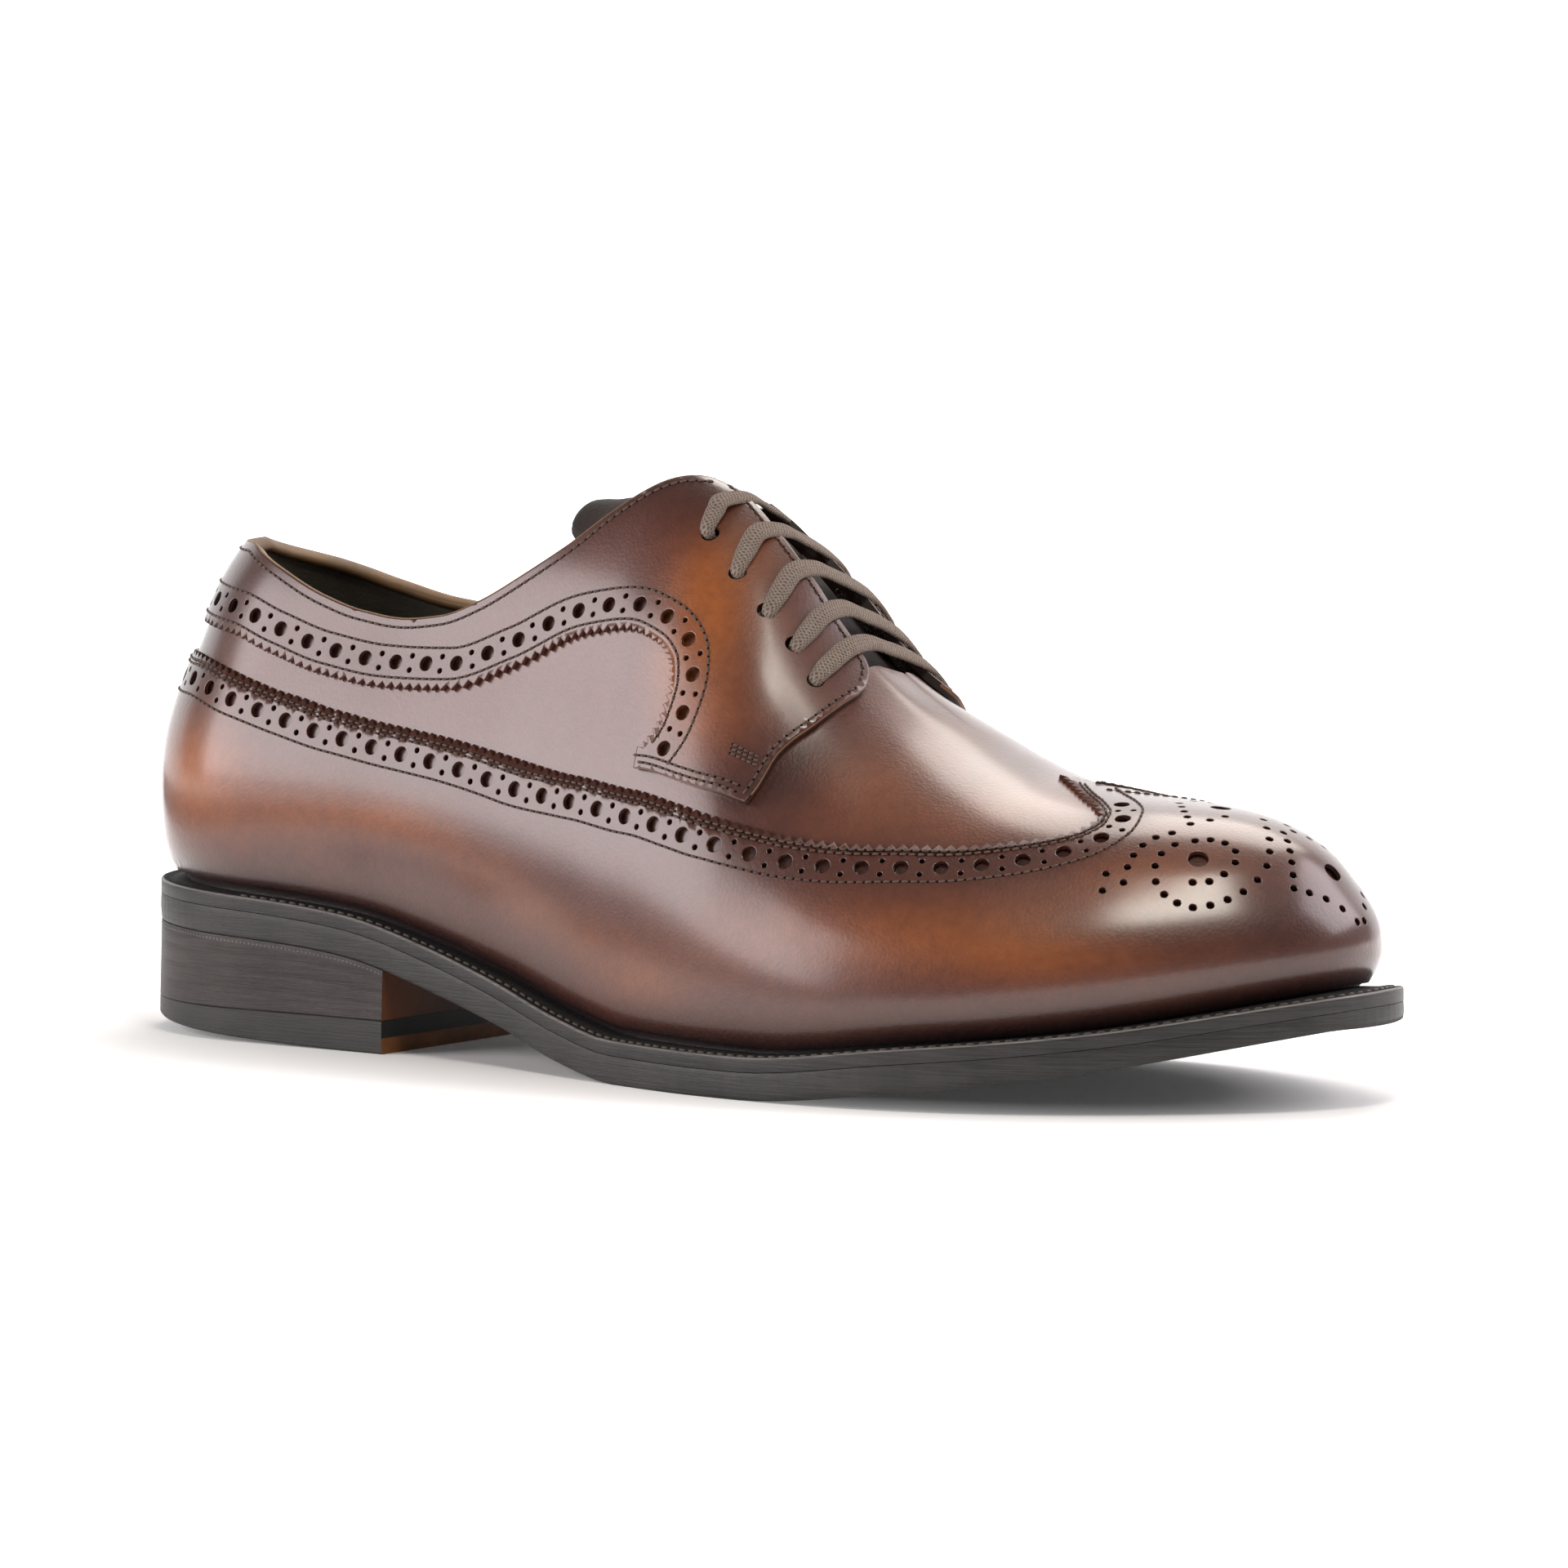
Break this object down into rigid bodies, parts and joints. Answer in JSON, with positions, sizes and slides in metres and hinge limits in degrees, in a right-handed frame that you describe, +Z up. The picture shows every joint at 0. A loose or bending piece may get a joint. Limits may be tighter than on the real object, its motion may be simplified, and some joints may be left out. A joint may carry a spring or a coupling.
{
  "type": "longwing brogue shoe",
  "caption": "Low leather shoe with open lacing, long pierced wing panels running back to the heel, a stitched welt and a stacked heel.",
  "frame": {"origin": "centre of the heel on the floor", "axes": "+X towards the toe, +Y towards the inner side of the foot, +Z up"},
  "size_m": [0.294, 0.1097, 0.1214],
  "materials": {
    "upper_leather": "burnished calf",
    "facing_leather": "burnished calf",
    "tongue_leather": "satin",
    "insole_leather": "matt",
    "welt_leather": "waxed",
    "sole_leather": "waxed",
    "heel_leather": "waxed",
    "heel_rubber": "matt",
    "lace_cotton": "woven"
  },
  "bodies": {
    "root": {"upper": "upper_leather", "facing_lateral": "facing_leather", "facing_medial": "facing_leather", "tongue": "tongue_leather", "insole": "insole_leather", "welt": "welt_leather", "outsole": "sole_leather", "heel_lift": "heel_leather", "heel_top_piece": "heel_rubber", "lace": "lace_cotton"}
  },
  "joints": []
}
